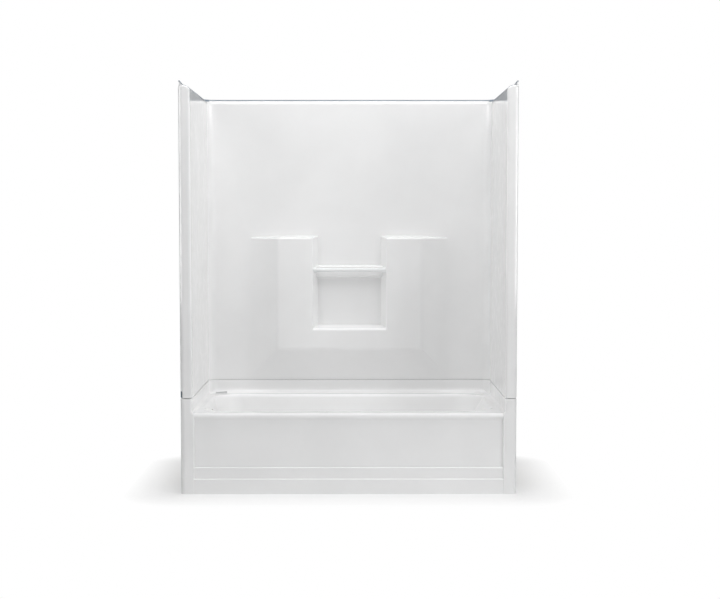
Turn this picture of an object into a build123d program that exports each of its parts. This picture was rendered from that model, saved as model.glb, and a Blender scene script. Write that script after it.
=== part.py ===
from build123d import *
import math
import os

os.makedirs("parts", exist_ok=True)

# A two-piece tub and shower unit: a bath module with a front panel, and a three-wall surround
# that stands on it. Millimetres, Z up, open front towards -Y, left-hand drain on the -X side.

# Overall sizes.
total_width = 1524.0
total_depth = 762.0
total_height = 1866.0
skin = 6.0

# The walls and their flanges, measured in from the overall sizes.
column_stand_out = 24.0
side_reach = 29.0
back_reach = 37.0
ear_rise = 21.0
flange_land = 2.0
corner_radius = 45.0
side_flange_half_width = total_width / 2.0 - column_stand_out
inside_half_width = side_flange_half_width - side_reach
inside_depth = total_depth - back_reach
wall_top = total_height - ear_rise
top_flare_radius = side_reach - flange_land

# The joint between the two modules.
seam_height = 436.0
seam_gap = 3.0
seam_bevel = 2.0

# Front columns.
column_return_depth = 180.0
column_edge_radius = 10.0
column_outer_radius = 22.0
ear_back_rise = 13.0
notch_width = 10.0
notch_height = 31.0

# Rim and front panel of the bath.
rim_height = 368.0
rim_nose = 4.0
rim_nose_radius = 15.0
nose_drop = 18.0
nose_foot_drop = 30.0
nose_low = rim_height - nose_drop
nose_foot = rim_height - nose_foot_drop
wall_cove_radius = 12.0
back_cove_radius = 28.0
panel_recess = 12.0
upper_step = 122.0
lower_step = 70.0
step_rise = 4.0
middle_recess = 7.0
lower_recess = 2.0
panel_end_inset = 5.0
panel_half_width = inside_half_width - panel_end_inset
panel_side_taper = 25.0

# The bathing well: how wide the rim is around it, and how far each of its walls leans in.
well_floor = 75.0
end_rim_width = 43.0
front_rim_width = 88.0
back_rim_width = 57.0
long_wall_lean = 62.0
drain_end_lean = 76.0
slope_end_lean = 196.0
well_corner_radius = 125.0
floor_cove_radius = 50.0
well_lip_radius = 20.0
well_top_half_length = inside_half_width - end_rim_width
well_front = front_rim_width
well_back = inside_depth - back_rim_width
floor_left = drain_end_lean - well_top_half_length
floor_right = well_top_half_length - slope_end_lean
floor_front = well_front + long_wall_lean
floor_back = well_back - long_wall_lean

# Drain and overflow holes.
drain_hole_radius = 25.5
drain_from_floor_end = 95.0
overflow_hole_radius = 28.5
overflow_height = 310.0

# The raised field on the back wall, with the two shelves and the niche between them.
field_projection = 72.0
field_half_width = 360.0
field_side_run = 140.0
field_base_half_width = field_half_width + field_side_run
field_low = 600.0
field_low_run = 149.0
field_base_low = field_low - field_low_run
shelf_front = 1154.0
shelf_rise = 9.0
shelf_back = shelf_front + shelf_rise
field_edge_radius = 45.0
shelf_edge_radius = 9.0
niche_half_width = 185.0
niche_side_draft = 27.0
niche_back_half_width = niche_half_width - niche_side_draft
niche_floor_front = 700.0
niche_floor_rise = 14.0
niche_floor_back = niche_floor_front + niche_floor_rise
niche_edge_radius = 5.0
niche_floor_edge_radius = 15.0

# The ledge that crosses the niche, and the bar in front of it.
ledge_projection = 25.0
ledge_top = 1012.0
ledge_height = 50.0
ledge_bottom = ledge_top - ledge_height
ledge_root_rise = 4.0
ledge_root_drop = 12.0
ledge_edge_radius = 8.0
bar_radius = 9.5
bar_from_wall = 50.0
bar_below_ledge_top = 19.0
bar_height = ledge_top - bar_below_ledge_top
socket_radius = 14.0
socket_length = 12.0
socket_bore_depth = 6.0
bar_clearance = 0.3

# Fasteners of the seam.
bolt_radius = 3.0
bolt_clearance = 0.3
bolt_head_height = 4.0
bolt_head_across = 10.0
washer_radius = 7.0
washer_thickness = 1.2
nut_height = 5.0
bolt_tail = 3.0
back_bolt_spacing = 420.0
side_bolt_depths = [280.0, 580.0]
gasket_setback = 4.0
gasket_bolt_gap = 1.2
bolt_line_setback = (side_reach + skin) / 2.0
gasket_width = bolt_line_setback - bolt_radius - bolt_clearance - gasket_bolt_gap - gasket_setback

# Timber and board stiffeners on the hidden side.
board_thickness = 12.0
board_margin = 48.0
board_corner_radius = 50.0
drain_clearance_radius = 48.0
runner_width = 38.0
runner_drain_setback = 212.0
runner_slope_setback = 122.0
rail_width = 38.0
rail_height = 50.0
post_width = 64.0
post_thickness = 19.0
post_place = 330.0
rib_thickness = 19.0
rib_width = 60.0
rib_corner_gap = 64.0
rib_place = inside_half_width - corner_radius - rib_corner_gap
wall_board_height = 90.0
side_board_low = 900.0
side_board_high = 1480.0
side_board_column_gap = 30.0
side_board_corner_gap = 40.0
side_board_front = column_return_depth + side_board_column_gap
side_board_back = inside_depth - corner_radius - side_board_corner_gap
back_board_low = 1330.0
rail_end_gap = 60.0

# Values that follow from the sizes above.
front_y = -total_depth / 2.0
back_y = total_depth / 2.0
half_width = total_width / 2.0
back_wall_y = front_y + inside_depth
tub_top = seam_height - seam_gap / 2.0
surround_bottom = seam_height + seam_gap / 2.0
rim_under = rim_height - skin
floor_under = well_floor - skin
field_front_y = back_wall_y - field_projection
board_left = floor_left + board_margin
board_right = floor_right - board_margin
runner_left = board_left + runner_drain_setback
runner_right = board_right - runner_slope_setback
runner_places = [runner_left, (runner_left + runner_right) / 2.0, runner_right]
outside = 200.0
step = 1.0


def span(x_low, x_high, y_low, y_high, z_low, z_high):
    # A plain block between six limits.
    block = Box(x_high - x_low, y_high - y_low, z_high - z_low, align=(Align.MIN, Align.MIN, Align.MIN))
    return Pos(x_low, y_low, z_low) * block


def both_sides(solid):
    # The solid and its mirror image across the middle of the unit.
    return solid + mirror(solid, about=Plane.YZ)


def side_profile(points, half_length):
    # A profile given as (y, z) points, drawn out along X to both sides of the middle.
    outline = make_face(Polyline([(0, y, z) for y, z in points], close=True))
    return extrude(outline, amount=half_length, dir=(1, 0, 0), both=True)


def front_profile(points, half_depth):
    # A profile given as (x, z) points, drawn out along Y to both sides of the middle.
    outline = make_face(Polyline([(x, 0, z) for x, z in points], close=True))
    return extrude(outline, amount=half_depth, dir=(0, 1, 0), both=True)


def plan_profile(points, low, high):
    # A profile given as (x, y) points, drawn up from one height to another.
    outline = make_face(Polyline([(x, y, low) for x, y in points], close=True))
    return extrude(outline, amount=high - low, dir=(0, 0, 1))


def alcove(grow, low, high, front):
    # The room between the three walls, widened by grow, from a front limit to the back wall.
    half = inside_half_width + grow
    room = span(-half, half, front, back_wall_y + grow, low, high)
    rear_edges = room.edges().filter_by(Axis.Z).sort_by(Axis.Y)[-2:]
    return fillet(rear_edges, corner_radius + grow)


def flange_block(low, high):
    # The outer limit of walls and flanges, up to the trimmed flange edges.
    block = span(-side_flange_half_width, side_flange_half_width, front_y, back_y, low, high)
    rear_edges = block.edges().filter_by(Axis.Z).sort_by(Axis.Y)[-2:]
    return fillet(rear_edges, corner_radius + side_reach)


def column_extension(low, high):
    # The part of a front column that stands out beyond the wall flange, on both sides.
    overlap = 1.0
    block = span(side_flange_half_width - overlap, half_width,
                 front_y, front_y + column_return_depth, low, high)
    outer_edge = block.edges().filter_by(Axis.Z).sort_by(lambda edge: edge.center().X - edge.center().Y)[-1]
    return both_sides(fillet(outer_edge, column_outer_radius))


def column_inner_edges(solid, low, high):
    # The upright front edges beside the open room, between two heights.
    chosen = []
    for edge in solid.edges().filter_by(Axis.Z):
        middle = edge.center()
        beside_room = near_plane(middle.Y, front_y) and near_plane(abs(middle.X), inside_half_width)
        if beside_room and low < middle.Z < high:
            chosen.append(edge)
    return chosen


def seam_edges(solid, height):
    # The edges that show along the seam: around the room, and across the column faces.
    chosen = []
    for edge in solid.edges().filter_by_position(Axis.Z, height - 0.01, height + 0.01):
        middle = edge.center()
        inside = abs(middle.X) < inside_half_width + 0.1 and middle.Y < back_wall_y + 0.1
        in_front = middle.Y < front_y + column_edge_radius + 0.1
        if inside or in_front:
            chosen.append(edge)
    return chosen


def behind_front(low, high):
    # The space behind the front skin, inside the column returns near the front and open farther back.
    near = span(-half_width + skin, half_width - skin,
                front_y + skin, front_y + column_return_depth + step, low, high)
    front_edges = near.edges().filter_by(Axis.Z).sort_by(Axis.Y)[:2]
    near = fillet(front_edges, column_outer_radius - skin)
    far = span(-half_width - outside, half_width + outside,
               front_y + column_return_depth, back_y + outside, low, high)
    return near + far


def field_block(inset):
    # The raised field of the back wall. An inset gives the hollow behind the same skin.
    side_run = field_base_half_width - field_half_width
    side_angle = math.atan2(field_projection, side_run)
    low_run = field_low - field_base_low
    low_angle = math.atan2(field_projection, low_run)
    root = back_wall_y + (skin + step if inset > 0 else skin / 2.0)
    face = field_front_y + inset
    half_face = field_half_width - inset * math.tan(side_angle / 2.0)
    half_root = half_face + (root - face) / math.tan(side_angle)
    low_face = field_low + inset * math.tan(low_angle / 2.0)
    low_root = low_face - (root - face) / math.tan(low_angle)
    plan = [(-half_root, root), (-half_face, face), (half_face, face), (half_root, root)]
    block = plan_profile(plan, field_base_low - outside, shelf_back + outside)
    slope = (shelf_back - shelf_front) / field_projection
    drop = inset * math.sqrt(1.0 + slope * slope)
    high_face = shelf_front + slope * inset - drop
    high_root = high_face + slope * (root - face)
    cross_section = [(face, low_face), (root, low_root), (root, high_root), (face, high_face)]
    block = block & side_profile(cross_section, half_root + step)
    return block - both_sides(shelf_end_cut(inset, side_angle))


def shelf_end_cut(inset, side_angle):
    # Slopes the top of the field towards its ends, so that each shelf runs out to nothing.
    rise = shelf_back - shelf_front
    end_slope = rise / (field_projection * math.cos(side_angle))
    drop = inset * (math.sqrt(1.0 + end_slope * end_slope) - end_slope)
    reach = 300.0
    points = [(-reach, -reach * end_slope), (reach, reach * end_slope), (reach, reach), (-reach, reach)]
    outline = make_face(Polyline([(across, height, 0) for across, height in points], close=True))
    along = (math.cos(side_angle), math.sin(side_angle), 0)
    inward = (-math.sin(side_angle), math.cos(side_angle), 0)
    corner = (field_half_width, field_front_y, shelf_front - drop)
    plane = Plane(origin=corner, x_dir=inward, z_dir=along)
    if plane.y_dir.Z < 0:
        plane = Plane(origin=corner, x_dir=inward, z_dir=(-along[0], -along[1], 0))
    return extrude(plane * outline, amount=reach, both=True)


def niche_block(grow):
    # The niche between the shelves, open to the front and the top, with drafted sides.
    draft = (niche_half_width - niche_back_half_width) / field_projection
    side_grow = grow * math.sqrt(1.0 + draft * draft)
    front = field_front_y - outside / 2.0
    back = back_wall_y + grow
    half_front = niche_back_half_width + draft * (back_wall_y - front) + side_grow
    half_back = niche_back_half_width - draft * grow + side_grow
    plan = [(-half_front, front), (half_front, front), (half_back, back), (-half_back, back)]
    block = plan_profile(plan, field_low, shelf_back + outside)
    slope = (niche_floor_back - niche_floor_front) / field_projection
    floor_grow = grow * math.sqrt(1.0 + slope * slope)
    low_front = niche_floor_front + slope * (front - field_front_y) - floor_grow
    low_back = niche_floor_front + slope * (back - field_front_y) - floor_grow
    high = shelf_back + outside
    cross_section = [(front, low_front), (back, low_back), (back, high), (front, high)]
    return block & side_profile(cross_section, half_front)


def ledge_block(inset):
    # The ledge across the niche, which reaches into the drafted sides of the niche.
    root = back_wall_y + (skin + step if inset > 0 else skin / 2.0)
    face = back_wall_y - ledge_projection + inset
    cross_section = [
        (face, ledge_bottom + inset),
        (root, ledge_bottom - ledge_root_drop + inset),
        (root, ledge_top + ledge_root_rise - inset),
        (face, ledge_top - inset),
    ]
    block = side_profile(cross_section, niche_back_half_width + ledge_projection)
    front_edges = block.edges().filter_by(Axis.X).sort_by(Axis.Y)[:2]
    return fillet(front_edges, max(ledge_edge_radius - inset, 1.0))


def near_plane(value, target):
    return abs(value - target) < 0.5


def soften_field(block):
    # Rounds the front edges of the raised field: the broad side and bottom breaks, then the niche.
    broad = []
    for edge in block.edges():
        middle = edge.center()
        if not near_plane(middle.Y, field_front_y):
            continue
        if near_plane(abs(middle.X), field_half_width) or near_plane(middle.Z, field_low):
            broad.append(edge)
    block = fillet(broad, field_edge_radius)
    floor_edge = []
    for edge in block.edges().filter_by(Axis.X):
        middle = edge.center()
        if near_plane(middle.Y, field_front_y) and near_plane(middle.Z, niche_floor_front):
            floor_edge.append(edge)
    block = fillet(floor_edge, niche_floor_edge_radius)
    shelf_edges = []
    for edge in block.edges():
        middle = edge.center()
        if middle.Y < back_wall_y - step and near_plane(middle.Z, shelf_front):
            shelf_edges.append(edge)
    block = fillet(shelf_edges, shelf_edge_radius)
    sides = []
    for edge in block.edges():
        middle = edge.center()
        if near_plane(middle.Y, field_front_y) and near_plane(abs(middle.X), niche_half_width):
            sides.append(edge)
    return fillet(sides, niche_edge_radius)


def wall_mass():
    # The surround as a full body: three walls with their flare, the columns, the raised field.
    mass = flange_block(surround_bottom, wall_top)
    mass = mass - alcove(0.0, surround_bottom - step, wall_top + step, front_y - outside)
    flare = []
    for edge in mass.edges().group_by(Axis.Z)[-1]:
        middle = edge.center()
        if abs(middle.X) < inside_half_width + 0.1 and middle.Y < back_wall_y + 0.1:
            flare.append(edge)
    mass = fillet(flare, top_flare_radius)
    mass = mass + column_extension(surround_bottom, wall_top)
    return mass


def wall_hollow():
    # Everything behind the skin of the surround: between the seam flange and the top flange.
    low = surround_bottom + skin
    high = wall_top - skin
    hollow = behind_front(low, high)
    room = alcove(skin, low - step, high + step, front_y - outside)
    hollow = hollow - room
    flare = []
    for edge in hollow.edges().group_by(Axis.Z)[-1]:
        middle = edge.center()
        inner_half = inside_half_width + skin + 0.1
        if abs(middle.X) < inner_half and middle.Y < back_wall_y + skin + 0.1 and middle.Y > front_y + skin + 0.1:
            flare.append(edge)
    return fillet(flare, top_flare_radius - skin)


def bolt_places():
    # Where the seam is bolted, as (x, y) points in the middle of the flange.
    places = []
    back_line = (back_wall_y + skin + back_y) / 2.0
    side_line = inside_half_width + bolt_line_setback
    for count in [-1, 0, 1]:
        places.append((count * back_bolt_spacing, back_line))
    for depth in side_bolt_depths:
        places.append((-side_line, front_y + depth))
        places.append((side_line, front_y + depth))
    return places


def bolt_holes(low, high):
    drill = Cylinder(bolt_radius + bolt_clearance, high - low, align=(Align.CENTER, Align.CENTER, Align.MIN))
    return [Pos(x, y, low) * drill for x, y in bolt_places()]


def make_surround():
    field = field_block(0.0) - niche_block(0.0)
    field = soften_field(field)
    field = field + ledge_block(0.0)
    shell = wall_mass() + field
    field_hollow = field_block(skin) - niche_block(skin)
    field_hollow = field_hollow + ledge_block(skin)
    shell = shell - wall_hollow() - field_hollow
    shell = fillet(column_inner_edges(shell, surround_bottom, total_height), column_edge_radius)
    shell = chamfer(seam_edges(shell, surround_bottom), seam_bevel)
    ear_front = front_y + column_outer_radius + step
    ear_back = front_y + column_return_depth
    ear_profile = [
        (ear_front, wall_top - skin),
        (ear_back, wall_top - skin),
        (ear_back, wall_top + ear_back_rise),
        (ear_front, total_height),
    ]
    ear = side_profile(ear_profile, skin / 2.0)
    for side in [-1.0, 1.0]:
        shell = shell + Pos(side * (half_width - skin / 2.0), 0, 0) * ear
    notch = span(-half_width - step, -half_width + notch_width, front_y - step,
                 front_y + column_outer_radius, surround_bottom, surround_bottom + notch_height)
    shell = shell - notch
    return shell - bolt_holes(surround_bottom - step, surround_bottom + skin + step)


def leaning_place(at_rim, at_floor, grow, height):
    # Where a leaning wall of the well stands at a height, once it is moved outwards by grow.
    run = at_rim - at_floor
    depth = rim_height - well_floor
    outward = math.copysign(grow * math.sqrt(1.0 + (run / depth) ** 2), run)
    return at_floor + run * (height - well_floor) / depth + outward


def well_block(grow, high):
    # The bathing well with its four leaning walls, widened by grow, from its floor up to a height.
    low = well_floor - grow
    ends = [(-well_top_half_length, floor_left), (well_top_half_length, floor_right)]
    sides = [(front_y + well_front, front_y + floor_front), (front_y + well_back, front_y + floor_back)]
    along = []
    across = []
    for height in [low, high]:
        along.append([(leaning_place(rim, floor, grow, height), height) for rim, floor in ends])
        across.append([(leaning_place(rim, floor, grow, height), height) for rim, floor in sides])
    lengthwise = [along[0][0], along[0][1], along[1][1], along[1][0]]
    crosswise = [across[0][0], across[0][1], across[1][1], across[1][0]]
    body = front_profile(lengthwise, half_width + outside) & side_profile(crosswise, half_width + outside)
    corners = [edge for edge in body.edges() if low + step < edge.center().Z < high - step]
    body = fillet(corners, well_corner_radius + grow)
    floor_edges = body.edges().group_by(Axis.Z)[0]
    return fillet(floor_edges, floor_cove_radius + grow)


def back_cove_block():
    # The broad cove between the rim and the back wall, kept below the edge of the upstand.
    radius = min(back_cove_radius, tub_top - rim_height - seam_bevel - skin)
    roll_y = back_wall_y - radius
    roll_z = rim_height + radius
    half = inside_half_width + skin / 2.0
    block = span(-half, half, roll_y, back_wall_y + skin / 2.0, rim_height - skin / 2.0, roll_z)
    roll = Cylinder(radius, 2.0 * (half + step), rotation=(0, 90, 0))
    return block - Pos(0, roll_y, roll_z) * roll


def bath_void():
    # The open space of the bath: the well, and the room above the rim.
    high = tub_top + outside
    room = alcove(0.0, rim_height, high, front_y - outside)
    cove = []
    for edge in room.edges().group_by(Axis.Z)[0]:
        middle = edge.center()
        if middle.Y > front_y - outside + 0.1:
            cove.append(edge)
    room = fillet(cove, wall_cove_radius)
    void = room + well_block(0.0, rim_height)
    lip = []
    for edge in void.edges():
        middle = edge.center()
        inside_x = abs(middle.X) < well_top_half_length + 0.1
        inside_y = front_y + well_front - 0.1 < middle.Y < front_y + well_back + 0.1
        if near_plane(middle.Z, rim_height) and inside_x and inside_y:
            lip.append(edge)
    return fillet(lip, well_lip_radius) - back_cove_block()


def panel_points(inset):
    # The front panel in cross-section, from the floor up to the rolled front edge of the rim.
    return [
        (front_y + lower_recess + inset, 0.0),
        (front_y + lower_recess + inset, lower_step - step_rise),
        (front_y + middle_recess + inset, lower_step),
        (front_y + middle_recess + inset, upper_step - step_rise),
        (front_y + panel_recess + inset, upper_step),
        (front_y + panel_recess + inset, nose_foot),
    ]


def panel_recess_block():
    # What is cut away in front of the panel and the rolled nose, with sloping ends by the columns.
    front = front_y - outside
    over = rim_height + step
    nose_y = front_y + rim_nose
    lean = rim_nose_radius * (1.0 - math.sqrt(0.5))
    points = panel_points(0.0)
    points[0] = (points[0][0], -outside)
    points = points + [(nose_y, nose_low), (nose_y, rim_height - rim_nose_radius)]
    lower = Polyline([(0, y, z) for y, z in points])
    roll = ThreePointArc(
        (0, nose_y, rim_height - rim_nose_radius),
        (0, nose_y + lean, rim_height - lean),
        (0, nose_y + rim_nose_radius, rim_height),
    )
    rest = [(nose_y + rim_nose_radius, rim_height), (nose_y + rim_nose_radius, over), (front, over),
            (front, -outside), points[0]]
    upper = Polyline([(0, y, z) for y, z in rest])
    outline = make_face(lower + roll + upper)
    block = extrude(outline, amount=inside_half_width, dir=(1, 0, 0), both=True)
    slope = math.tan(math.radians(panel_side_taper))
    deep = rim_nose_radius + panel_recess + step
    half_deep = panel_half_width - slope * deep
    plan = [
        (-panel_half_width - slope * outside, front),
        (panel_half_width + slope * outside, front),
        (half_deep, front_y + deep),
        (-half_deep, front_y + deep),
    ]
    return block & plan_profile(plan, -outside, rim_height + step * 2.0)


def bath_hollow():
    # Everything behind and below the skin of the bath module.
    low = -outside
    points = panel_points(skin)
    points[0] = (points[0][0], low)
    inside = points + [(front_y + panel_recess + skin, rim_under), (back_y + outside, rim_under),
                       (back_y + outside, low)]
    under = side_profile(inside, inside_half_width + skin)
    columns = behind_front(low, rim_under)
    middle = span(-panel_half_width - skin, panel_half_width + skin,
                  front_y - outside, back_y + outside * 2.0, low - step, rim_under + step)
    columns = columns - middle
    upstand = behind_front(rim_under - step, tub_top - skin)
    upstand = upstand - alcove(skin, low, tub_top, front_y - outside)
    hollow = under + columns + upstand
    return hollow - well_block(skin, rim_under + skin / 2.0)


def overflow_frame():
    # Centre of the overflow hole on the drain-end wall, and the direction out through the wall.
    top_x = -well_top_half_length
    depth = rim_height - well_floor
    share = (overflow_height - well_floor) / depth
    centre_x = floor_left + (top_x - floor_left) * share
    run = floor_left - top_x
    length = math.sqrt(run * run + depth * depth)
    outward = (-depth / length, 0.0, -run / length)
    centre_y = front_y + (well_front + well_back) / 2.0
    return (centre_x, centre_y, overflow_height), outward


def drain_centre():
    return (floor_left + drain_from_floor_end, front_y + (floor_front + floor_back) / 2.0)


def round_tub_columns(shell):
    # Rounds the inner edges of the columns above the rim, then the edge that shows along the seam.
    shell = fillet(column_inner_edges(shell, rim_height, tub_top), column_edge_radius)
    return chamfer(seam_edges(shell, tub_top), seam_bevel)


def make_tub():
    mass = flange_block(0.0, tub_top) + column_extension(0.0, tub_top)
    mass = mass - panel_recess_block()
    shell = mass - bath_void() - bath_hollow()
    shell = round_tub_columns(shell)
    drain_x, drain_y = drain_centre()
    shell = shell - Pos(drain_x, drain_y, well_floor) * Cylinder(drain_hole_radius, skin * 4.0)
    centre, outward = overflow_frame()
    bore = extrude(Plane(origin=centre, z_dir=outward) * Circle(overflow_hole_radius), amount=skin * 3.0, both=True)
    shell = shell - bore
    return shell - bolt_holes(tub_top - skin - step, tub_top + step)


def save(name, solid):
    solid.label = name
    export_step(solid, os.path.join("parts", name + ".step"))
    print(name, round(solid.volume / 1000.0, 1), "cm3", len(solid.solids()))


def make_bar():
    # The washcloth bar, held by its two end sockets.
    length = 2.0 * (socket_face() + socket_bore_depth)
    rod = Cylinder(bar_radius, length, rotation=(0, 90, 0))
    return Pos(0, bar_line_y(), bar_height) * rod


def bar_line_y():
    return back_wall_y - bar_from_wall


def niche_half_at_bar():
    draft = (niche_half_width - niche_back_half_width) / field_projection
    return niche_back_half_width + draft * bar_from_wall


def socket_face():
    # Distance from the middle of the unit to the open face of each socket.
    return niche_half_at_bar() - socket_length


def make_socket(side, surround):
    # A short cup on the drafted side of the niche, cut to lie flat against it.
    start = socket_face()
    reach = socket_length + socket_radius
    cup = Cylinder(socket_radius, reach, rotation=(0, 90, 0), align=(Align.CENTER, Align.CENTER, Align.MIN))
    bore = Cylinder(bar_radius + bar_clearance, socket_bore_depth, rotation=(0, 90, 0),
                    align=(Align.CENTER, Align.CENTER, Align.MIN))
    cup = Pos(start, bar_line_y(), bar_height) * (cup - bore)
    if side < 0:
        cup = mirror(cup, about=Plane.YZ)
    pieces = (cup - surround).solids().sort_by(lambda solid: abs(solid.center().X))
    return pieces[0]


def make_gasket():
    # The sealing strip in the seam, between the inside faces and the bolts.
    low = tub_top
    high = surround_bottom
    strip = alcove(gasket_setback + gasket_width, low, high, front_y + column_edge_radius)
    return strip - alcove(gasket_setback, low - step, high + step, front_y - outside)


def stack(solid, height):
    # One copy of a fastener part at every bolt place.
    return Compound([Pos(x, y, height) * solid for x, y in bolt_places()])


def make_bolts():
    above = surround_bottom + skin
    below = tub_top - skin - washer_thickness - nut_height - bolt_tail
    shank = Cylinder(bolt_radius, above - below, align=(Align.CENTER, Align.CENTER, Align.MIN))
    across_corners = bolt_head_across / math.sqrt(3.0)
    head = extrude(RegularPolygon(across_corners, 6), amount=bolt_head_height)
    bolt = shank + Pos(0, 0, above - below) * head
    return stack(bolt, below)


def make_washers():
    ring = extrude(Circle(washer_radius) - Circle(bolt_radius + bolt_clearance), amount=washer_thickness)
    return stack(ring, tub_top - skin - washer_thickness)


def make_nuts():
    across_corners = bolt_head_across / math.sqrt(3.0)
    outline = RegularPolygon(across_corners, 6) - Circle(bolt_radius + bolt_clearance)
    nut = extrude(outline, amount=nut_height)
    return stack(nut, tub_top - skin - washer_thickness - nut_height)


def make_floor_board():
    # The board bonded under the floor of the well, with a clearance hole at the drain.
    board = span(board_left, board_right,
                 front_y + floor_front + board_margin, front_y + floor_back - board_margin,
                 floor_under - board_thickness, floor_under)
    board = fillet(board.edges().filter_by(Axis.Z), board_corner_radius)
    drain_x, drain_y = drain_centre()
    return board - Pos(drain_x, drain_y, floor_under) * Cylinder(drain_clearance_radius, board_thickness * 4.0)


def make_runner(place):
    # A bearer across the bath, from the building floor up to the board.
    return span(place - runner_width / 2.0, place + runner_width / 2.0,
                front_y + floor_front + board_margin, front_y + floor_back - board_margin,
                0.0, floor_under - board_thickness)


def panel_back_y():
    return front_y + panel_recess + skin


def make_panel_bottom_rail():
    # The rail along the foot of the front panel.
    end = panel_half_width - rail_end_gap
    back = panel_back_y() + rail_width
    return span(-end, end, front_y + lower_recess + skin, back, 0.0, lower_step - step_rise - step)


def make_deck_rail(front, back):
    # A rail bonded under the rim between two depths.
    end = panel_half_width - rail_end_gap
    return span(-end, end, front, back, rim_under - rail_height, rim_under)


def make_panel_post(place):
    # An upright strip behind the front panel, between the bottom rail and the rim rail.
    return span(place - post_width / 2.0, place + post_width / 2.0,
                panel_back_y(), panel_back_y() + post_thickness,
                lower_step - step_rise - step, rim_under - rail_height)


def make_back_rib(place):
    # An upright stiffener bonded to the outside of the back wall.
    outer = back_wall_y + skin
    return span(place - rib_width / 2.0, place + rib_width / 2.0, outer, outer + rib_thickness,
                surround_bottom + skin, wall_top - top_flare_radius - skin)


def make_back_board():
    # A board between the two back ribs, above the raised field.
    outer = back_wall_y + skin
    end = rib_place - rib_width / 2.0
    return span(-end, end, outer, outer + rib_thickness, back_board_low, back_board_low + wall_board_height)


def make_side_board(side, low):
    # A level board bonded to the outside of a side wall.
    inner = inside_half_width + skin
    board = span(inner, inner + rib_thickness, front_y + side_board_front, front_y + side_board_back,
                 low, low + wall_board_height)
    return board if side > 0 else mirror(board, about=Plane.YZ)


surround = make_surround()
save("surround_shell", surround)
save("tub_shell", make_tub())
save("washcloth_bar", make_bar())
save("bar_socket_left", make_socket(-1.0, surround))
save("bar_socket_right", make_socket(1.0, surround))
save("seam_gasket", make_gasket())
save("seam_bolts", make_bolts())
save("seam_washers", make_washers())
save("seam_nuts", make_nuts())
save("floor_board", make_floor_board())
for runner_name, runner_place in zip(["left", "middle", "right"], runner_places):
    save("floor_runner_" + runner_name, make_runner(runner_place))
save("panel_bottom_rail", make_panel_bottom_rail())
save("panel_post_left", make_panel_post(-post_place))
save("panel_post_right", make_panel_post(post_place))
save("front_rim_rail", make_deck_rail(panel_back_y(), panel_back_y() + rail_width))
save("rear_rim_rail", make_deck_rail(back_wall_y - rail_width, back_wall_y))
save("back_rib_left", make_back_rib(-rib_place))
save("back_rib_right", make_back_rib(rib_place))
save("back_board", make_back_board())
save("side_board_lower_left", make_side_board(-1.0, side_board_low))
save("side_board_lower_right", make_side_board(1.0, side_board_low))
save("side_board_upper_left", make_side_board(-1.0, side_board_high))
save("side_board_upper_right", make_side_board(1.0, side_board_high))
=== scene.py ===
import bpy
import bmesh
import math
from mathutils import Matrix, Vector
from mathutils.bvhtree import BVHTree


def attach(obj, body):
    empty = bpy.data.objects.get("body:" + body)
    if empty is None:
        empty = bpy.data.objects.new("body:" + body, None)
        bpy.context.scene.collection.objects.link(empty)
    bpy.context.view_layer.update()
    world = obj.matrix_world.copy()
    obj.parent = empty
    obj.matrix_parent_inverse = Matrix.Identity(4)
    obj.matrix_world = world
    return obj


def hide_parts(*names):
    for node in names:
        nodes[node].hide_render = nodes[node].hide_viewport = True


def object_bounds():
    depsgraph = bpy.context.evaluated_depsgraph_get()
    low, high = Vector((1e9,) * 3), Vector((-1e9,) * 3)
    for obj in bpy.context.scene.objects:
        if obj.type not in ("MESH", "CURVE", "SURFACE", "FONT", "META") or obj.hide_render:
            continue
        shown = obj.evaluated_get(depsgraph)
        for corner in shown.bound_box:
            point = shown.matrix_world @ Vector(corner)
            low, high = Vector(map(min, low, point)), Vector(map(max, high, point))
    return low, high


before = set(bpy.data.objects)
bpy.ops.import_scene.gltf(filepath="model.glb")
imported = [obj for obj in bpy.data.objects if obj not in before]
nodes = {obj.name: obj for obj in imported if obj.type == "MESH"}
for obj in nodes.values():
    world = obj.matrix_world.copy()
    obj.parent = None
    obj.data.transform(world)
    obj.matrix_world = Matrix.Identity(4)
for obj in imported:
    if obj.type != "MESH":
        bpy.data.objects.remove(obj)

cadLow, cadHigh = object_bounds()
print("frame loaded,", len(nodes), "nodes")


# Small helpers

def linear(hexColour):
    # sRGB hex to linear rgba
    values = []
    for place in (0, 2, 4):
        channel = int(hexColour[place:place + 2], 16) / 255.0
        values.append(channel / 12.92 if channel <= 0.04045 else ((channel + 0.055) / 1.055) ** 2.4)
    return (*values, 1.0)


def addNode(tree, kind, settings=None, **inputs):
    # adds one node: settings are its properties, inputs are values or sockets to link from
    # an input is named, or numbered from i0
    node = tree.nodes.new(kind)
    for name, value in (settings or {}).items():
        setattr(node, name, value)
    for name, value in inputs.items():
        isNumbered = name[0] == "i" and name[1:].isdigit()
        socket = node.inputs[int(name[1:]) if isNumbered else name.replace("_", " ")]
        if isinstance(value, bpy.types.NodeSocket):
            tree.links.new(value, socket)
        else:
            socket.default_value = value
    return node


def newMaterial(name):
    # an empty material with its shader, its output and the object's own coordinates
    material = bpy.data.materials.new(name)
    material.use_nodes = True
    tree = material.node_tree
    tree.nodes.clear()
    shader = tree.nodes.new("ShaderNodeBsdfPrincipled")
    output = tree.nodes.new("ShaderNodeOutputMaterial")
    tree.links.new(shader.outputs["BSDF"], output.inputs["Surface"])
    coords = tree.nodes.new("ShaderNodeTexCoord").outputs["Object"]
    return material, tree, shader, coords


def ramp(tree, factor, stops):
    # a colour ramp from (position, hex) pairs
    node = addNode(tree, "ShaderNodeValToRGB", Fac=factor)
    band = node.color_ramp
    while len(band.elements) < len(stops):
        band.elements.new(0.5)
    for element, (place, colour) in zip(band.elements, stops):
        element.position = place
        element.color = linear(colour)
    return node.outputs["Color"]


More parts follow.
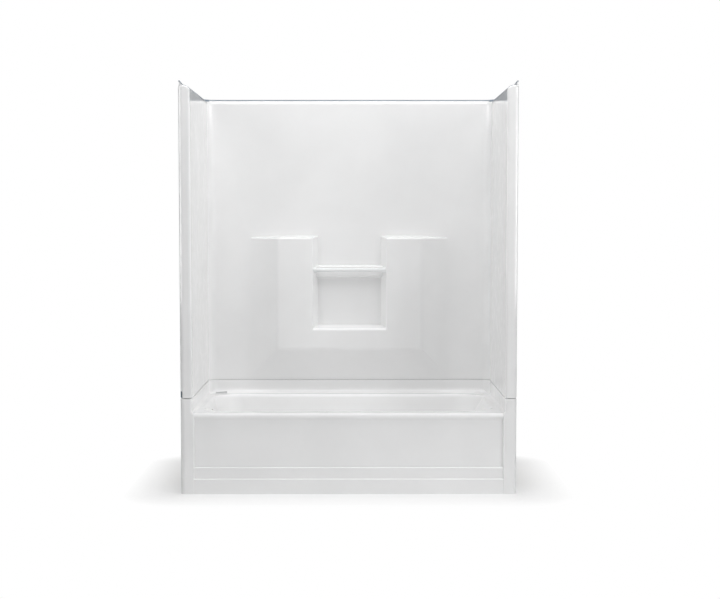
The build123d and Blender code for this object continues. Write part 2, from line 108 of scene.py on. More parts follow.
def remap(tree, value, low, high, newLow, newHigh):
    # carries the range low to high over to newLow to newHigh
    node = addNode(tree, "ShaderNodeMapRange", i0=value, i1=low, i2=high, i3=newLow, i4=newHigh)
    return node.outputs["Result"]


def perMetre(millimetres):
    # a texture's scale from the real size of its pattern
    return 1000.0 / millimetres


def addBump(tree, height, strength, depthMm, below=None):
    # raises a pattern by a real depth, on top of another bump if one is given
    node = addNode(tree, "ShaderNodeBump", Height=height, Strength=strength, Distance=depthMm / 1000.0)
    if below is not None:
        tree.links.new(below, node.inputs["Normal"])
    return node.outputs["Normal"]


def deselectAll():
    if bpy.context.object and bpy.context.object.mode != "OBJECT":
        bpy.ops.object.mode_set(mode="OBJECT")
    bpy.ops.object.select_all(action="DESELECT")


# Materials

gelcoatSettings = {
    "white": "F7F7F7",
    "warmWhite": "F3F3F3",
    "toneMm": 333.0,         # very slow change between the two whites
    "ior": 1.53,             # cured polyester resin
    "roughness": (0.10, 0.17),
    "hazeMm": 38.5,
    "waveMm": 90.0,          # the mould's own long waves
    "waveHeightMm": 0.10,
    "peelMm": 9.0,           # orange peel, drawn coarser than the real 2 mm so that it shows
    "peelHeightMm": 0.008,
}


def makeGelcoat():
    # white polyester gelcoat, sprayed in a polished mould: glossy, with slow waves and a faint orange peel
    s = gelcoatSettings
    material, tree, shader, coords = newMaterial("gelcoatMouldedWhite")
    tone = addNode(tree, "ShaderNodeTexNoise", Vector=coords, Scale=perMetre(s["toneMm"]), Detail=3.0)
    colour = ramp(tree, tone.outputs["Fac"], [(0.35, s["warmWhite"]), (0.65, s["white"])])
    tree.links.new(colour, shader.inputs["Base Color"])
    haze = addNode(tree, "ShaderNodeTexNoise", Vector=coords, Scale=perMetre(s["hazeMm"]), Detail=4.0)
    rough = remap(tree, haze.outputs["Fac"], 0.3, 0.7, *s["roughness"])
    tree.links.new(rough, shader.inputs["Roughness"])
    wave = addNode(tree, "ShaderNodeTexNoise", Vector=coords, Scale=perMetre(s["waveMm"]), Detail=1.0)
    peel = addNode(tree, "ShaderNodeTexNoise", Vector=coords, Scale=perMetre(s["peelMm"]), Detail=1.0)
    slow = addBump(tree, wave.outputs["Fac"], 1.0, s["waveHeightMm"])
    fine = addBump(tree, peel.outputs["Fac"], 1.0, s["peelHeightMm"], slow)
    tree.links.new(fine, shader.inputs["Normal"])
    shader.inputs["IOR"].default_value = s["ior"]
    return material


laminateSettings = {
    "resin": "C9C4AE",
    "paleResin": "D9D5C4",
    "strand": "EBE8DC",
    "ior": 1.53,
    "roughness": (0.38, 0.62),
    "strandMm": 1.6,         # strand width
    "strandLengthMm": 40.0,
    "noisePerStrand": 2.2,   # the noise makes a strand this many times its own grain wide
    "strandCut": (0.56, 0.70),    # the part of the noise that shows as a strand
    "turns": [(0.3, 0.2, 0.4), (1.1, 0.7, 1.5), (0.2, 1.3, 2.5), (1.5, 0.4, 0.9)],   # one for each layer
    "layerShift": (3.1, 1.7),
    "ridgeMm": 0.35,
    "poolMm": 71.4,          # where the resin pooled
    "lumpMm": 4.0,
}


def makeLaminate():
    # sprayed chopped-strand glass in polyester, rolled by hand: dull, pale strands cross under the resin
    s = laminateSettings
    material, tree, shader, coords = newMaterial("choppedStrandLaminate")
    across = perMetre(s["strandMm"]) / s["noisePerStrand"]
    strands = None
    for count, turn in enumerate(s["turns"]):
        shiftX, shiftY = s["layerShift"]
        lined = addNode(tree, "ShaderNodeMapping", Vector=coords, Rotation=turn,
                        Location=(count * shiftX, count * shiftY, 0.0),
                        Scale=(perMetre(s["strandLengthMm"]), across, across))
        noise = addNode(tree, "ShaderNodeTexNoise", Vector=lined.outputs["Vector"], Scale=1.0, Detail=1.0)
        line = remap(tree, noise.outputs["Fac"], *s["strandCut"], 0.0, 1.0)
        if strands is not None:
            both = addNode(tree, "ShaderNodeMath", {"operation": "MAXIMUM"}, i0=strands, i1=line)
            line = both.outputs["Value"]
        strands = line
    pool = addNode(tree, "ShaderNodeTexNoise", Vector=coords, Scale=perMetre(s["poolMm"]), Detail=5.0,
                   Roughness=0.6)
    ground = ramp(tree, pool.outputs["Fac"], [(0.35, s["resin"]), (0.65, s["paleResin"])])
    colour = addNode(tree, "ShaderNodeMix", {"data_type": "RGBA"}, i0=strands, i6=ground,
                     i7=linear(s["strand"]))
    tree.links.new(colour.outputs[2], shader.inputs["Base Color"])
    rough = remap(tree, pool.outputs["Fac"], 0.3, 0.7, *s["roughness"])
    tree.links.new(rough, shader.inputs["Roughness"])
    lump = addBump(tree, pool.outputs["Fac"], 1.0, s["lumpMm"])
    ridge = addBump(tree, strands, 0.8, s["ridgeMm"], lump)
    tree.links.new(ridge, shader.inputs["Normal"])
    shader.inputs["IOR"].default_value = s["ior"]
    return material


sawnEdgeAndShadeSettings = {
    # dark slate tones: partly the cut edge's grey, partly painted shade for the dark outline lines
    "edge": "56626F",
    "paleEdge": "8793A0",
    "plyMm": 1.4,
    "chipMm": 0.3,
    "roughness": 0.55,
    "ior": 1.53,
}


def makeSawnEdgeAndPaintedShade():
    # laminate cut with a diamond saw, specked where the saw went through the glass plies; its dark slate
    # grey is partly the cut edge's own colour and partly painted shade, drawing a dark outline along the
    # trimmed edges and the shade inside the notch
    s = sawnEdgeAndShadeSettings
    material, tree, shader, coords = newMaterial("laminateSawnEdgeAndPaintedShade")
    grain = addNode(tree, "ShaderNodeTexNoise", Vector=coords, Scale=perMetre(s["plyMm"]), Detail=3.0)
    colour = ramp(tree, grain.outputs["Fac"], [(0.35, s["edge"]), (0.65, s["paleEdge"])])
    tree.links.new(colour, shader.inputs["Base Color"])
    tree.links.new(addBump(tree, grain.outputs["Fac"], 0.6, s["chipMm"]), shader.inputs["Normal"])
    shader.inputs["Roughness"].default_value = s["roughness"]
    shader.inputs["IOR"].default_value = s["ior"]
    return material


acrylicSettings = {
    "white": "F3F4F4",
    "shade": "E9EBEC",
    "ior": 1.49,
    "roughness": (0.07, 0.14),
    "drawMm": 3.0,           # draw lines: how wide, how long and how deep
    "drawLengthMm": 167.0,
    "drawDepthMm": 0.04,
}


def makeAcrylic():
    # extruded white acrylic rod and moulded sockets: even white, high gloss, very faint draw lines
    s = acrylicSettings
    material, tree, shader, coords = newMaterial("acrylicExtrudedWhite")
    across = perMetre(s["drawMm"])
    drawn = addNode(tree, "ShaderNodeMapping", Vector=coords,
                    Scale=(perMetre(s["drawLengthMm"]), across, across))
    lines = addNode(tree, "ShaderNodeTexNoise", Vector=drawn.outputs["Vector"], Scale=1.0, Detail=2.0)
    colour = ramp(tree, lines.outputs["Fac"], [(0.3, s["shade"]), (0.7, s["white"])])
    tree.links.new(colour, shader.inputs["Base Color"])
    rough = remap(tree, lines.outputs["Fac"], 0.3, 0.7, *s["roughness"])
    tree.links.new(rough, shader.inputs["Roughness"])
    tree.links.new(addBump(tree, lines.outputs["Fac"], 0.5, s["drawDepthMm"]), shader.inputs["Normal"])
    shader.inputs["IOR"].default_value = s["ior"]
    return material


timberSettings = {
    "early": "D9BD8C",
    "late": "B98A52",
    "ringMm": 4.5,
    "bandsPerUnit": 20.0,    # the wave texture's own scale is about 20 bands to the unit
    "stretch": 0.045,        # how little the pattern changes along the grain
    "lean": (0.05, 0.03, 0.04),
    "bendMm": 45.5,          # how far apart the bends of the grain are, and how far they carry it aside
    "wanderMm": 12.0,
    "fibreMm": 0.7,
    "fibreShare": 0.35,
    "grainDepthMm": 0.3,
    "roughness": 0.62,
    "ior": 1.5,
}


def makeTimber(name, axis):
    # planed softwood: straight growth-ring lines along the piece, fine fibres, dull surface
    s = timberSettings
    material, tree, shader, coords = newMaterial(name)
    along = [s["stretch"] if place == axis else 1.0 for place in "XYZ"]
    mapped = addNode(tree, "ShaderNodeMapping", Vector=coords, Scale=along, Rotation=s["lean"])
    laid = mapped.outputs["Vector"]
    bend = addNode(tree, "ShaderNodeTexNoise", Vector=laid, Scale=perMetre(s["bendMm"]), Detail=2.0)
    wander = (s["wanderMm"] / 1000.0,) * 3
    shift = addNode(tree, "ShaderNodeVectorMath", {"operation": "MULTIPLY_ADD"}, i0=bend.outputs["Color"],
                    i1=wander, i2=laid)
    rings = addNode(tree, "ShaderNodeTexWave",
                    {"wave_type": "RINGS", "rings_direction": axis, "wave_profile": "SAW"},
                    Vector=shift.outputs["Vector"], Scale=perMetre(s["ringMm"]) / s["bandsPerUnit"],
                    Distortion=1.5, Detail=2.0)
    fibre = addNode(tree, "ShaderNodeTexNoise", Vector=laid, Scale=perMetre(s["fibreMm"]), Detail=2.0)
    mixed = addNode(tree, "ShaderNodeMath", {"operation": "MULTIPLY_ADD"}, i0=fibre.outputs["Fac"],
                    i1=s["fibreShare"], i2=rings.outputs["Fac"]).outputs["Value"]
    colour = ramp(tree, mixed, [(0.15, s["early"]), (0.75, s["early"]), (1.0, s["late"])])
    tree.links.new(colour, shader.inputs["Base Color"])
    tree.links.new(addBump(tree, mixed, 0.4, s["grainDepthMm"]), shader.inputs["Normal"])
    shader.inputs["Roughness"].default_value = s["roughness"]
    shader.inputs["IOR"].default_value = s["ior"]
    return material


strandBoardSettings = {
    "flake": "CDAA74",
    "paleFlake": "E0C596",
    "darkFlake": "9C7440",
    "flakeMm": 9.0,
    "flakeShape": (0.45, 1.0, 1.6),
    "flakeTurn": (0.2, 0.1, 0.5),
    "rimMm": 0.4,
    "roughness": 0.6,
    "ior": 1.5,
}


def makeStrandBoard():
    # pressed strand board: overlapping flat flakes in changing tones, slightly raised at their rims
    s = strandBoardSettings
    material, tree, shader, coords = newMaterial("strandBoardPressed")
    flat = addNode(tree, "ShaderNodeMapping", Vector=coords, Scale=s["flakeShape"], Rotation=s["flakeTurn"])
    cells = addNode(tree, "ShaderNodeTexVoronoi", {"feature": "F1"}, Vector=flat.outputs["Vector"],
                    Scale=perMetre(s["flakeMm"]))
    tones = [(0.15, s["darkFlake"]), (0.45, s["flake"]), (0.8, s["paleFlake"])]
    tree.links.new(ramp(tree, cells.outputs["Color"], tones), shader.inputs["Base Color"])
    tree.links.new(addBump(tree, cells.outputs["Distance"], 0.5, s["rimMm"]), shader.inputs["Normal"])
    shader.inputs["Roughness"].default_value = s["roughness"]
    shader.inputs["IOR"].default_value = s["ior"]
    return material


zincSettings = {"bright": "C6CBD1", "dull": "AEB5BD", "roughness": (0.26, 0.42), "spangleMm": 2.5}


def makeZinc():
    # bright zinc-plated steel: cool grey metal with a soft cloudy sheen
    s = zincSettings
    material, tree, shader, coords = newMaterial("steelZincPlated")
    cloud = addNode(tree, "ShaderNodeTexNoise", Vector=coords, Scale=perMetre(s["spangleMm"]), Detail=3.0)
    colour = ramp(tree, cloud.outputs["Fac"], [(0.35, s["dull"]), (0.65, s["bright"])])
    tree.links.new(colour, shader.inputs["Base Color"])
    rough = remap(tree, cloud.outputs["Fac"], 0.3, 0.7, *s["roughness"])
    tree.links.new(rough, shader.inputs["Roughness"])
    shader.inputs["Metallic"].default_value = 1.0
    return material


foamSettings = {
    "foam": "B9BABA",
    "paleFoam": "D2D3D3",
    "cellMm": 1.2,
    "cellDepthMm": 0.3,
    "roughness": 0.9,
    "ior": 1.45,
}


def makeFoam():
    # closed-cell foam strip: pale grey, matt, with a fine cell texture
    s = foamSettings
    material, tree, shader, coords = newMaterial("foamClosedCell")
    cells = addNode(tree, "ShaderNodeTexVoronoi", {"feature": "F1"}, Vector=coords,
                    Scale=perMetre(s["cellMm"]))
    colour = ramp(tree, cells.outputs["Distance"], [(0.1, s["foam"]), (0.6, s["paleFoam"])])
    tree.links.new(colour, shader.inputs["Base Color"])
    tree.links.new(addBump(tree, cells.outputs["Distance"], 0.6, s["cellDepthMm"]), shader.inputs["Normal"])
    shader.inputs["Roughness"].default_value = s["roughness"]
    shader.inputs["IOR"].default_value = s["ior"]
    return material


vinylSettings = {
    "driftMm": 16.7,
    "driftDepthMm": 0.2,
    "ior": 1.5,
    "grey": {"name": "vinylBlankGrey", "colour": "BDBEBF", "shade": "B6B7B8", "roughness": 0.45},
    "pale": {"name": "vinylBlankPale", "colour": "E6E6E6", "shade": "E1E1E1", "roughness": 0.35},
}


def makeVinyl(kind):
    # calendered vinyl label, blank: an even satin film with a slight tone drift
    s = vinylSettings
    film = s[kind]
    material, tree, shader, coords = newMaterial(film["name"])
    drift = addNode(tree, "ShaderNodeTexNoise", Vector=coords, Scale=perMetre(s["driftMm"]), Detail=3.0)
    colour = ramp(tree, drift.outputs["Fac"], [(0.35, film["shade"]), (0.65, film["colour"])])
    tree.links.new(colour, shader.inputs["Base Color"])
    tree.links.new(addBump(tree, drift.outputs["Fac"], 0.3, s["driftDepthMm"]), shader.inputs["Normal"])
    shader.inputs["Roughness"].default_value = film["roughness"]
    shader.inputs["IOR"].default_value = s["ior"]
    return material


gelcoat = makeGelcoat()
laminate = makeLaminate()
sawnEdgeAndPaintedShade = makeSawnEdgeAndPaintedShade()
acrylic = makeAcrylic()
timberX = makeTimber("softwoodPlanedX", "X")
timberY = makeTimber("softwoodPlanedY", "Y")
timberZ = makeTimber("softwoodPlanedZ", "Z")
strandBoard = makeStrandBoard()
zinc = makeZinc()
foam = makeFoam()
print("materials made")


# Pieces that take the CAD shapes

meshSettings = {"merge": 0.00001, "bevelFrom": 30.0, "bevelSteps": 2, "flatWeight": 50}


def copyNode(nodeName, pieceName):
    # a merged copy of a CAD node's mesh, which then stands for that node
    mesh = nodes[nodeName].data.copy()
    mesh.name = pieceName
    mesh.materials.clear()
    piece = bpy.data.objects.new(pieceName, mesh)
    bpy.context.scene.collection.objects.link(piece)
    deselectAll()
    piece.select_set(True)
    bpy.context.view_layer.objects.active = piece
    bpy.ops.object.mode_set(mode="EDIT")
    bpy.ops.mesh.select_all(action="SELECT")
    bpy.ops.mesh.remove_doubles(threshold=meshSettings["merge"])
    bpy.ops.mesh.customdata_custom_splitnormals_clear()
    bpy.ops.object.mode_set(mode="OBJECT")
    return piece


def smoothPiece(piece, angle, bevelMm=0.0):
    # rounds the arrises if asked, then smooths the curves and keeps the flats flat
    deselectAll()
    piece.select_set(True)
    bpy.context.view_layer.objects.active = piece
    if bevelMm > 0.0:
        bevel = piece.modifiers.new("arris", "BEVEL")
        bevel.width = bevelMm / 1000.0
        bevel.segments = meshSettings["bevelSteps"]
        bevel.limit_method = "ANGLE"
        bevel.angle_limit = math.radians(meshSettings["bevelFrom"])
        bpy.ops.object.modifier_apply(modifier="arris")
    bpy.ops.object.shade_smooth_by_angle(angle=math.radians(angle))
    weighted = piece.modifiers.new("flats", "WEIGHTED_NORMAL")
    weighted.mode = "FACE_AREA_WITH_ANGLE"
    weighted.weight = meshSettings["flatWeight"]
    weighted.keep_sharp = True
    bpy.ops.object.modifier_apply(modifier="flats")


def finishPiece(piece, nodeName):
    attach(piece, "root")
    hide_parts(nodeName)


shellSettings = {
    "halfWidth": cadHigh[0],
    "halfDepth": cadHigh[1],
    "flangeHalfWidth": 0.738,
    "skin": 0.006,
    "seam": 0.436,
    "returnEnd": -0.201,     # rear edge of the column returns
    "wallTop": 1.845,
    "flareShadeDepth": 0.016,     # how far below the wall's top the band painted in the dark edge colour can reach: a painted shade line
    "flareShadeTilt": (0.74, 0.55),    # rear and side tilt from which the flare's upward faces take the dark edge colour, as a painted shade line
    "earEdge": ((-0.358, 1.866), (-0.201, 1.858)),   # front and rear top corner of each ear
    "earSawnAndShadedBand": 0.0045,       # how far below the ear's top the dark edge colour reaches: the sawn top and a painted shade line along the ear
    "notch": (0.7518, 0.470),     # inner side and top of the notch in the left column
    "notchDepth": 0.03,
    "near": 0.0006,          # a face this close to a plane lies in it
    "facing": 0.9,           # least share of a normal along an axis for a face to look that way
    "cheekFacing": 0.7,
    "rayLift": 0.0004,       # where a sight line starts, clear of its own face
    "smoothAngle": 32.0,
    # places in front of the unit and in its room, from which the moulded side is seen
    "eyes": [(0.0, -3.0, 1.2), (0.0, -1.0, 2.6), (0.45, -0.3, 1.3), (-0.45, -0.3, 1.3),
             (-0.9, -2.0, 0.4), (0.9, -2.0, 0.4), (0.0, 0.0, 0.9), (-0.3, 0.0, 0.6), (0.3, 0.0, 0.6)],
}


def earTop(depth):
    # height of the ears' sloping top at a place along the depth
    (frontY, frontZ), (rearY, rearZ) = shellSettings["earEdge"]
    return frontZ + (depth - frontY) * (rearZ - frontZ) / (rearY - frontY)


def isOnCheek(centre):
    # within the skin of a column's outer cheek
    s = shellSettings
    return abs(centre.x) > s["halfWidth"] - s["skin"] - s["near"]


def isSawnOrPaintedShade(centre, normal):
    # where the laminate was trimmed: flange rims, foot, ears, notch and the returns' rear edges; also
    # painted shade: the top band (the flare's upward faces), a strip below each ear's top and the inside of
    # the notch take the same dark colour
    s = shellSettings
    near = s["near"]
    facing = s["facing"]
    sideRim = abs(abs(centre.x) - s["flangeHalfWidth"]) < near and abs(normal.x) > facing
    backRim = abs(centre.y - s["halfDepth"]) < near and normal.y > facing
    foot = centre.z < near and normal.z < -facing
    if sideRim or backRim or foot:
        return True
    # painted shade: the flare's upward faces along the top take the dark edge colour to draw a dark outline
    if centre.z > s["wallTop"] - s["flareShadeDepth"] and abs(centre.x) < s["flangeHalfWidth"] + near:
        rearSlope, sideSlope = s["flareShadeTilt"]
        if normal.z > (sideSlope if abs(normal.x) > abs(normal.y) else rearSlope):
            return True
    # painted shade: a strip below the ear's sawn top takes the dark edge colour as a dark line
    if centre.z > s["wallTop"] and isOnCheek(centre):
        return centre.z > earTop(centre.y) - s["earSawnAndShadedBand"]
    # painted shade: the notch's cut faces and the inner faces just behind them take the dark edge colour, so
    # the notch reads dark
    notchX, notchTop = s["notch"]
    inNotch = centre.x < -notchX and s["seam"] < centre.z < notchTop
    if inNotch and centre.y < s["notchDepth"] - s["halfDepth"]:
        return abs(centre.x + s["halfWidth"]) > near and centre.y > near - s["halfDepth"]
    returnEdge = abs(centre.y - s["returnEnd"]) < near and normal.y > facing
    return returnEdge and abs(centre.x) > s["flangeHalfWidth"]


def isMoulded(tree, centre, normal):
    # the side that lay in the mould: what an eye in the room or in front sees, and the columns' outer cheeks
    s = shellSettings
    if abs(normal.x) > s["cheekFacing"] and abs(centre.x) > s["halfWidth"] - s["near"]:
        return True
    start = centre + normal * s["rayLift"]
    for place in s["eyes"]:
        way = Vector(place) - start
        if way.dot(normal) > 0.0 and tree.ray_cast(start, way.normalized(), way.length)[0] is None:
            return True
    return False


def markEarShadeBand(work):
    # a line of edges below the top of each ear, bounding the strip painted dark there as a shade line
    s = shellSettings
    parts = {}
    for face in work.faces:
        centre = face.calc_center_median()
        if centre.z > s["wallTop"] + s["near"] and isOnCheek(centre):
            parts.update(dict.fromkeys([face, *face.edges, *face.verts]))
    if parts:
        slope = earTop(1.0) - earTop(0.0)
        bmesh.ops.bisect_plane(work, geom=list(parts), plane_co=(0.0, 0.0, earTop(0.0) - s["earSawnAndShadedBand"]),
                               plane_no=(0.0, -slope, 1.0))


def dressShell(nodeName, pieceName):
    # gelcoat where the face sees the room or the front, sawn rims and painted shade lines in the dark edge
    # colour, laminate behind
    piece = copyNode(nodeName, pieceName)
    mesh = piece.data
    finishes = [gelcoat, laminate, sawnEdgeAndPaintedShade]
    for finish in finishes:
        mesh.materials.append(finish)
    work = bmesh.new()
    work.from_mesh(mesh)
    markEarShadeBand(work)
    tree = BVHTree.FromBMesh(work)
    for face in work.faces:
        centre = face.calc_center_median()
        # sawn faces and painted shade lines both take the dark edge colour
        if isSawnOrPaintedShade(centre, face.normal):
            finish = sawnEdgeAndPaintedShade
        elif isMoulded(tree, centre, face.normal):
            finish = gelcoat
        else:
            finish = laminate
        face.material_index = finishes.index(finish)
    work.to_mesh(mesh)
    work.free()
    smoothPiece(piece, shellSettings["smoothAngle"])
    finishPiece(piece, nodeName)
    return piece


bathModule = dressShell("tub_shell", "bathModule")
dressShell("surround_shell", "wallModule")
print("shells dressed")

dressedPieces = [
    # node, piece, slot, material, smoothing angle, arris in mm
    ("washcloth_bar", "washclothBar", "bar", acrylic, 40.0, 0.8),
    ("bar_socket_left", "barSocketLeft", "bar", acrylic, 40.0, 0.0),
    ("bar_socket_right", "barSocketRight", "bar", acrylic, 40.0, 0.0),
    ("seam_gasket", "seamGasket", "gasket", foam, 30.0, 0.0),
    ("seam_bolts", "seamBolts", "steel", zinc, 30.0, 0.35),
    ("seam_washers", "seamWashers", "steel", zinc, 30.0, 0.15),
    ("seam_nuts", "seamNuts", "steel", zinc, 30.0, 0.3),
    ("floor_board", "floorBoard", "board", strandBoard, 30.0, 0.6),
    ("floor_runner_left", "floorRunnerLeft", "timber", timberY, 30.0, 1.5),
    ("floor_runner_middle", "floorRunnerMiddle", "timber", timberY, 30.0, 1.5),
    ("floor_runner_right", "floorRunnerRight", "timber", timberY, 30.0, 1.5),
    ("panel_bottom_rail", "panelBottomRail", "timber", timberX, 30.0, 1.5),
    ("panel_post_left", "panelPostLeft", "timber", timberZ, 30.0, 1.2),
    ("panel_post_right", "panelPostRight", "timber", timberZ, 30.0, 1.2),
    ("front_rim_rail", "frontRimRail", "timber", timberX, 30.0, 1.5),
    ("rear_rim_rail", "rearRimRail", "timber", timberX, 30.0, 1.5),
    ("back_rib_left", "backRibLeft", "timber", timberZ, 30.0, 1.2),
    ("back_rib_right", "backRibRight", "timber", timberZ, 30.0, 1.2),
    ("back_board", "backBoard", "board", strandBoard, 30.0, 0.6),
    ("side_board_lower_left", "sideBoardLowerLeft", "board", strandBoard, 30.0, 0.6),
    ("side_board_lower_right", "sideBoardLowerRight", "board", strandBoard, 30.0, 0.6),
    ("side_board_upper_left", "sideBoardUpperLeft", "board", strandBoard, 30.0, 0.6),
    ("side_board_upper_right", "sideBoardUpperRight", "board", strandBoard, 30.0, 0.6),
]

for nodeName, pieceName, slotName, material, angle, arris in dressedPieces:
    piece = copyNode(nodeName, pieceName)
    piece.data.materials.append(material)
    smoothPiece(piece, angle, arris)
    finishPiece(piece, nodeName)
print("small pieces dressed")

for node in nodes.values():
    node.hide_render = True


# The blank labels on the rear corners of the rim

labelSettings = {
    "above": 0.42,           # where the flat film starts before it is laid on the rim
    "film": 0.0003,          # thickness, and how far clear of the rim it lies
    "lift": 0.0001,
    "cuts": 7,
    "ovalPoints": 40,
    "cornerSteps": 4,
    "smoothAngle": 30.0,
    "left": {"centre": (-0.647, 0.319), "size": (0.057, 0.031), "turn": 5.0, "corner": 0.004, "oval": False},
    "right": {"centre": (0.652, 0.321), "size": (0.048, 0.029), "turn": 0.0, "corner": 0.0, "oval": True},
}


def makeLabel(pieceName, side, material):
    # a thin film cut square or oval and laid over the rim and the foot of its cove
    s = labelSettings
    cut = s[side]
    deselectAll()
    where = (*cut["centre"], s["above"])
    if cut["oval"]:
        bpy.ops.mesh.primitive_circle_add(vertices=s["ovalPoints"], radius=0.5, fill_type="TRIFAN",
                                          location=where)
    else:
        bpy.ops.mesh.primitive_plane_add(size=1.0, location=where)
    label = bpy.context.object
    label.name = pieceName
    label.data.name = pieceName
    label.scale = (*cut["size"], 1.0)
    label.rotation_euler = (0.0, 0.0, math.radians(cut["turn"]))
    bpy.ops.object.transform_apply(location=True, rotation=True, scale=True)
    bpy.ops.object.mode_set(mode="EDIT")
    bpy.ops.mesh.select_all(action="SELECT")
    if cut["corner"] > 0.0:
        bpy.ops.mesh.bevel(offset=cut["corner"], segments=s["cornerSteps"], affect="VERTICES")
        bpy.ops.mesh.select_all(action="SELECT")
        bpy.ops.mesh.poke()
        bpy.ops.mesh.select_all(action="SELECT")
    bpy.ops.mesh.subdivide(number_cuts=s["cuts"])
    bpy.ops.object.mode_set(mode="OBJECT")
    laid = label.modifiers.new("laid", "SHRINKWRAP")
    laid.target = bathModule
    laid.wrap_method = "PROJECT"
    laid.use_project_z = True
    laid.use_negative_direction = True
    laid.use_positive_direction = False
    laid.offset = s["lift"]
    bpy.ops.object.modifier_apply(modifier="laid")
    thick = label.modifiers.new("film", "SOLIDIFY")
    thick.thickness = s["film"]
    thick.offset = 1.0
    bpy.ops.object.modifier_apply(modifier="film")
    label.data.materials.append(material)
    smoothPiece(label, s["smoothAngle"])
    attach(label, "root")


makeLabel("rimLabelLeft", "left", makeVinyl("grey"))
makeLabel("rimLabelRight", "right", makeVinyl("pale"))
print("labels placed")


# Floor, light and camera

stageSettings = {
    "floor": "F2F2F2",
    "floorRoughness": 0.9,
    "glowNear": 0.35,        # share of plain white that the camera sees beside the unit: its shadow stays
    "glowFar": 1.0,
    "glowReach": 0.26,       # metres from the unit to where the floor is plain white
    "foot": (cadHigh[0], cadHigh[1]),
    "floorSize": 40.0,
    "world": "F4F5F6",
    "worldStrength": 0.20,
}
plainWhite = (1.0, 1.0, 1.0, 1.0)


def makeFloor():
    # a wide pale floor: it keeps the shadow at the unit's foot and melts into the white behind
    s = stageSettings
    deselectAll()
    bpy.ops.mesh.primitive_plane_add(size=s["floorSize"], location=(0.0, 0.0, 0.0))
    floor = bpy.context.object
    floor.name = "studioFloor"
    bpy.ops.object.transform_apply(location=True, rotation=True, scale=True)
    material, tree, shader, coords = newMaterial("floorMattPale")
    shader.inputs["Base Color"].default_value = linear(s["floor"])
    shader.inputs["Roughness"].default_value = s["floorRoughness"]
    output = next(node for node in tree.nodes if node.type == "OUTPUT_MATERIAL")
    path = addNode(tree, "ShaderNodeLightPath")
    glow = addNode(tree, "ShaderNodeEmission", Color=plainWhite, Strength=1.0)
    place = addNode(tree, "ShaderNodeSeparateXYZ", Vector=coords)
    beyond = []              # how far past the unit's foot a spot lies, along X and along Y
    for axis, half in zip("XY", s["foot"]):
        size = addNode(tree, "ShaderNodeMath", {"operation": "ABSOLUTE"}, i0=place.outputs[axis])
        past = addNode(tree, "ShaderNodeMath", {"operation": "SUBTRACT"}, i0=size.outputs["Value"], i1=half)
        kept = addNode(tree, "ShaderNodeMath", {"operation": "MAXIMUM"}, i0=past.outputs["Value"], i1=0.0)
        beyond.append(kept.outputs["Value"])
    way = addNode(tree, "ShaderNodeCombineXYZ", X=beyond[0], Y=beyond[1])
    away = addNode(tree, "ShaderNodeVectorMath", {"operation": "LENGTH"}, i0=way.outputs["Vector"])
    bright = remap(tree, away.outputs["Value"], 0.0, s["glowReach"], s["glowNear"], s["glowFar"])
    share = addNode(tree, "ShaderNodeMath", {"operation": "MULTIPLY"}, i0=path.outputs["Is Camera Ray"],
                    i1=bright)
    mixed = addNode(tree, "ShaderNodeMixShader", i0=share.outputs["Value"], i1=shader.outputs["BSDF"],
                    i2=glow.outputs["Emission"])
    tree.links.new(mixed.outputs["Shader"], output.inputs["Surface"])
    floor.data.materials.append(material)


def makeWorld():
    # white behind the object for the camera and for reflections, a soft grey-white for the light
    s = stageSettings
    world = bpy.data.worlds.new("studioWorld")
    world.use_nodes = True
    bpy.context.scene.world = world
    tree = world.node_tree
    tree.nodes.clear()
    path = addNode(tree, "ShaderNodeLightPath")
    seen = addNode(tree, "ShaderNodeBackground", Color=plainWhite, Strength=1.0)
    light = addNode(tree, "ShaderNodeBackground", Color=linear(s["world"]), Strength=s["worldStrength"])
    share = path.outputs["Is Camera Ray"]
    for ray in ("Is Glossy Ray", "Is Transmission Ray"):
        both = addNode(tree, "ShaderNodeMath", {"operation": "MAXIMUM"}, i0=share, i1=path.outputs[ray])
        share = both.outputs["Value"]
    mixed = addNode(tree, "ShaderNodeMixShader", i0=share, i1=light.outputs["Background"],
                    i2=seen.outputs["Background"])
    addNode(tree, "ShaderNodeOutputWorld", Surface=mixed.outputs["Shader"])


flagSettings = {
    "colour": "7E8C9A",
    "paleColour": "8796A5",
    "clothMm": 333.0,
    "place": (0.0, 6.0, 1.6),
    "size": (14.0, 6.4),
}


def makeFlag():
    # a grey studio flag far behind, which only the reflections see: it draws the edges of the white unit
    s = flagSettings
    deselectAll()
    bpy.ops.mesh.primitive_plane_add(size=1.0, location=s["place"], rotation=(math.radians(90.0), 0.0, 0.0))
    flag = bpy.context.object
    flag.name = "darkFlag"
    flag.scale = (*s["size"], 1.0)
    bpy.ops.object.transform_apply(location=True, rotation=True, scale=True)
    flag.visible_camera = False
    flag.visible_diffuse = False
    flag.visible_shadow = False
    flag.visible_transmission = False
    material, tree, shader, coords = newMaterial("flagClothDark")
    cloth = addNode(tree, "ShaderNodeTexNoise", Vector=coords, Scale=perMetre(s["clothMm"]), Detail=2.0)
    colour = ramp(tree, cloth.outputs["Fac"], [(0.3, s["colour"]), (0.7, s["paleColour"])])
    tree.links.new(colour, shader.inputs["Base Color"])
    shader.inputs["Roughness"].default_value = 1.0
    shader.inputs["Specular IOR Level"].default_value = 0.0
    flag.data.materials.append(material)


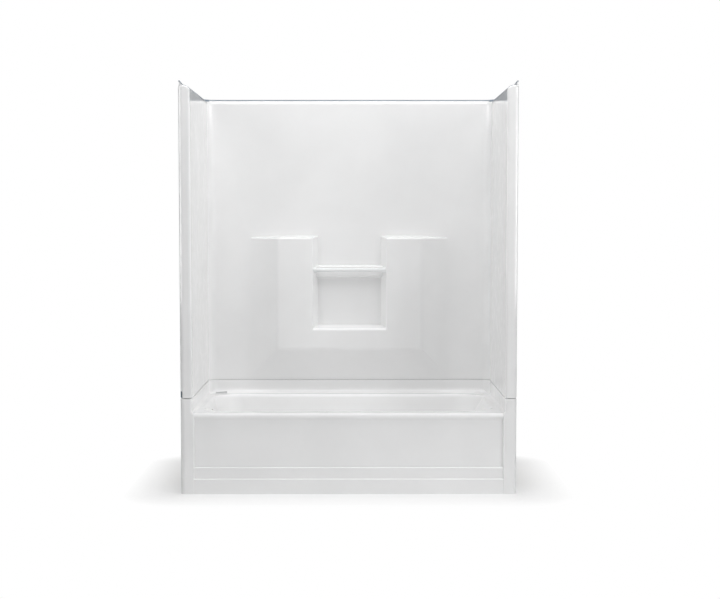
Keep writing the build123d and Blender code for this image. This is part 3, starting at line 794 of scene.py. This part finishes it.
unitMiddle = (0.0, 0.0, 0.9)
lampSettings = [
    # softboxes that give the light: one that isn't mirrored shows in no reflection
    {"name": "topSoftbox", "place": (0.15, -0.9, 3.6), "aim": unitMiddle, "size": (2.6, 2.0), "power": 47.0},
    {"name": "rightSoftbox", "place": (3.2, -2.8, 1.9), "aim": unitMiddle, "size": (1.6, 3.0), "power": 49.0,
     "mirrored": False},
    {"name": "leftSoftbox", "place": (-3.2, -3.6, 1.9), "aim": unitMiddle, "size": (1.6, 3.0), "power": 40.0,
     "mirrored": False},
    # panels that draw the white edges: nothing is lit by them, and only reflections show them
    {"name": "topPanel", "place": (0.15, -0.9, 3.6), "aim": unitMiddle, "size": (2.6, 2.0), "power": 88.0,
     "lit": False},
    {"name": "leftPanel", "place": (-3.0, -0.7, 1.5), "aim": (0.0, -0.7, 1.5), "size": (1.6, 1.6),
     "power": 52.0, "lit": False},
    {"name": "rightPanel", "place": (3.0, -0.7, 1.5), "aim": (0.0, -0.7, 1.5), "size": (1.6, 1.6),
     "power": 52.0, "lit": False},
    # lights the hidden side, so that it isn't black from behind
    {"name": "rearFill", "place": (0.6, 4.8, 2.6), "aim": unitMiddle, "size": (3.5, 2.5), "power": 25.0,
     "mirrored": False},
]


def makeLamps():
    for s in lampSettings:
        data = bpy.data.lights.new(s["name"], "AREA")
        data.shape = "RECTANGLE"
        data.size, data.size_y = s["size"]
        data.energy = s["power"]
        lamp = bpy.data.objects.new(s["name"], data)
        bpy.context.scene.collection.objects.link(lamp)
        lamp.location = s["place"]
        way = Vector(s["aim"]) - Vector(s["place"])
        lamp.rotation_euler = way.to_track_quat("-Z", "Y").to_euler()
        lamp.visible_glossy = s.get("mirrored", True)
        lamp.visible_diffuse = s.get("lit", True)
        lamp.visible_camera = False


cameraSettings = {
    "place": (0.036, -6.308, 1.243),
    "down": 3.45,            # degrees
    "right": 0.15,
    "lens": 65.945,
    "sensor": 36.0,
    "clipEnd": 100.0,
}


def makeCamera():
    s = cameraSettings
    data = bpy.data.cameras.new("photoCamera")
    data.sensor_width = s["sensor"]
    data.lens = s["lens"]
    data.clip_end = s["clipEnd"]
    camera = bpy.data.objects.new("photoCamera", data)
    bpy.context.scene.collection.objects.link(camera)
    camera.location = s["place"]
    camera.rotation_euler = (math.radians(90.0 - s["down"]), 0.0, math.radians(-s["right"]))
    bpy.context.scene.camera = camera


makeFloor()
makeWorld()
makeFlag()
makeLamps()
makeCamera()
bpy.context.scene.view_settings.view_transform = "Standard"
print("stage set")
